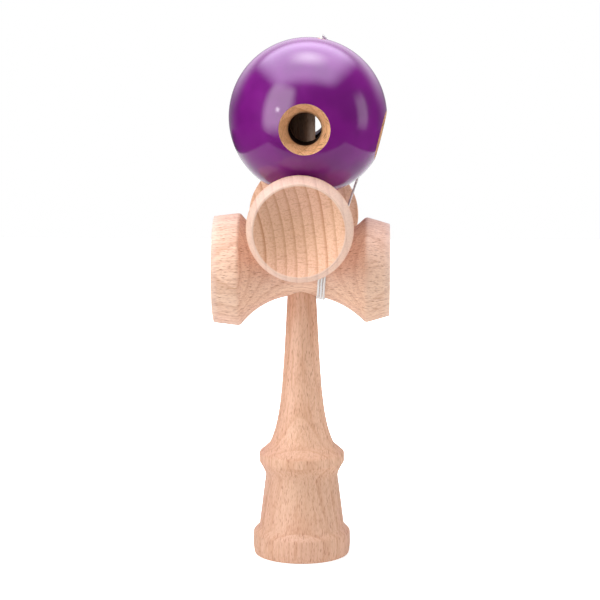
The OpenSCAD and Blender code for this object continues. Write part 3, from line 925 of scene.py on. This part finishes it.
# studio: a white sheet under the toy, a large soft light above, one in front on the left and a strip on the right
# most lamps serve either the wood (glossy False) or the lacquer's reflections (diffuse False)
studioPlan = {
    "sheet": {
        "box": (-0.7, -0.26, 0.7, 1.0), "below": 0.0001, "white": 0.95, "roughness": 0.9,
        "shade": (0.03, 0.20, 0.6, 1.0),  # the toy's shadow shows near it and fades further out
        "mirrorSide": (0.285, 0.265), "mirrorFront": (-0.16, -0.14),  # the sheet's edges in the lacquer
        "mirrorBright": (0.08, 0.4, 0.2, 0.6), "mirrorWhite": 0.36, "bounce": 0.12,
    },
    "world": {
        "around": 0.17, "backdropDeep": (0.42, 0.95, 0.03, 0.8), "backdropHigh": (0.0, 0.35, 0.38, 1.6),
        "tint": (1.0, 0.86, 1.06, 1),
    },
    "lamps": {
        "topGlow": {"place": (-0.05, 0.10, 0.80), "aim": (-0.05, 0.08, 0.17), "size": (1.5, 1.5), "power": 28.5,
            "colour": (0.85, 0.76, 1.0), "soft": 0.27, "diffuse": False},
        "topSpot": {"place": (0.01, 0.06, 0.78), "aim": (0, 0.0, 0.17), "size": (0.54, 0.42), "power": 3.3,
            "soft": 0.5, "diffuse": False},
        "topFill": {"place": (-0.18, -0.26, 1.08), "aim": (0, 0.0, 0.1), "size": (1.0, 0.9), "power": 10.2,
            "glossy": False},
        "leftKey": {"place": (-1.12, -0.56, 0.42), "aim": (0, 0.0, 0.12), "size": (0.85, 1.0), "power": 7.8,
            "glossy": False},
        "leftWindow": {"place": (-0.80, -0.86, 0.58), "aim": (0, 0.0, 0.58), "size": (1.3, 2.05), "power": 28.0,
            "soft": 0.28, "diffuse": False},
        "leftSpark": {"place": (-0.80, -0.86, 0.42), "aim": (0, 0.0, 0.15), "size": (0.2, 0.2), "power": 1.1,
            "soft": 0.5, "diffuse": False},
        "rightStrip": {"place": (1.1, -0.05, 0.28), "aim": (0, 0.0, 0.12), "size": (0.55, 1.0), "power": 2.4,
            "soft": 0.35},
        "rightFill": {"place": (0.95, -0.65, 0.40), "aim": (0, 0.0, 0.1), "size": (0.9, 0.9), "power": 1.4,
            "glossy": False},
        "rightSide": {"place": (1.15, 0.12, 0.30), "aim": (0, 0.0, 0.12), "size": (0.6, 0.9), "power": 3.8,
            "glossy": False},
        "frontFill": {"place": (0.72, -1.1, 0.22), "aim": (0, 0.0, 0.12), "size": (0.4, 0.4), "power": 0.7,
            "glossy": False},
    },
}


def seenRays(tree):
    # rays that see the studio as plain white, and rays of the lacquer's reflections and of bounced light
    path = addNode(tree, "ShaderNodeLightPath").outputs
    seen = calc(tree, "MAXIMUM", path["Is Camera Ray"], path["Is Transmission Ray"])
    return seen, path["Is Glossy Ray"], path["Is Diffuse Ray"]


def makeSheet(plan):
    x0, y0, x1, y1 = plan["box"]
    bpy.ops.object.select_all(action="DESELECT")
    bpy.ops.mesh.primitive_plane_add(size=1)
    floor = bpy.context.object
    floor.name = "paperSheet"
    floor.scale = (x1 - x0, y1 - y0, 1)
    floor.location = ((x0 + x1) / 2, (y0 + y1) / 2, -plan["below"])
    bpy.ops.object.transform_apply(location=True, rotation=True, scale=True)
    material, tree, surface = newMaterial("whitePaper")
    seen, glossy, diffuse = seenRays(tree)
    place = objectPlace(tree)
    part = splitPlace(tree, place)
    side = ramp(tree, calc(tree, "ABSOLUTE", part[0]), *plan["mirrorSide"])
    lit = times(tree, side, ramp(tree, part[1], *plan["mirrorFront"]))
    dim = times(tree, glossy, minus(tree, 1.0, times(tree, lit, plan["mirrorWhite"])))
    white = (plan["white"], plan["white"], plan["white"], 1)
    bright = times(tree, seen, ramp(tree, lengthOf(tree, place), *plan["shade"]))
    mirrored = times(tree, glossy, times(tree, lit, ramp(tree, part[1], *plan["mirrorBright"])))
    thrown = calc(tree, "MAXIMUM", mirrored, times(tree, diffuse, plan["bounce"]))
    feed(tree, surface, {
        "Base Color": mixColour(tree, dim, white, (0.0, 0.0, 0.0, 1)),
        "Roughness": plan["roughness"],
        "Emission Color": (1, 1, 1, 1),
        "Emission Strength": calc(tree, "MAXIMUM", bright, thrown),
    })
    floor.data.materials.append(material)


def fadeEdges(light, soft):
    # the lamp's face is brightest in the middle and fades over this part of its width
    light.use_nodes = True
    tree = light.node_tree
    tree.nodes.clear()
    face = splitPlace(tree, addNode(tree, "ShaderNodeNewGeometry").outputs["Parametric"])
    fades = [times(tree, ramp(tree, v, 0.0, soft), ramp(tree, v, 1.0, 1.0 - soft)) for v in face[:2]]
    shine = addNode(tree, "ShaderNodeEmission", {"Strength": times(tree, *fades)})
    addNode(tree, "ShaderNodeOutputLight", {"Surface": shine.outputs[0]})


def makeLamp(name, plan):
    light = bpy.data.objects.new(name, bpy.data.lights.new(name, "AREA"))
    light.data.shape = "RECTANGLE"
    light.data.size, light.data.size_y = plan["size"]
    light.data.energy = plan["power"]
    light.data.color = plan.get("colour", (1, 1, 1))
    if "soft" in plan:
        fadeEdges(light.data, plan["soft"])
    light.location = plan["place"]
    light.rotation_euler = (Vector(plan["place"]) - Vector(plan["aim"])).to_track_quat("Z", "Y").to_euler()
    light.visible_camera = False
    light.visible_diffuse = plan.get("diffuse", True)
    light.visible_glossy = plan.get("glossy", True)
    bpy.context.scene.collection.objects.link(light)


def makeWorld(plan):
    world = bpy.data.worlds.new("studio")
    bpy.context.scene.world = world
    world.use_nodes = True
    tree = world.node_tree
    tree.nodes.clear()
    seen, glossy, _ = seenRays(tree)
    way = splitPlace(tree, addNode(tree, "ShaderNodeTexCoord").outputs["Generated"])
    backdrop = times(tree, ramp(tree, way[1], *plan["backdropDeep"]), ramp(tree, way[2], *plan["backdropHigh"]))
    strength = mixValue(tree, seen, mixValue(tree, glossy, plan["around"], backdrop), 1.0)
    tint = mixColour(tree, times(tree, glossy, minus(tree, 1.0, seen)), (1, 1, 1, 1), plan["tint"])
    glow = addNode(tree, "ShaderNodeBackground", {"Color": tint, "Strength": strength})
    addNode(tree, "ShaderNodeOutputWorld", {"Surface": glow.outputs[0]})


makeSheet(studioPlan["sheet"])
for lampName, lampPlan in studioPlan["lamps"].items():
    makeLamp(lampName, lampPlan)
makeWorld(studioPlan["world"])
bpy.context.scene.view_settings.view_transform = "Standard"
print("studio lit")
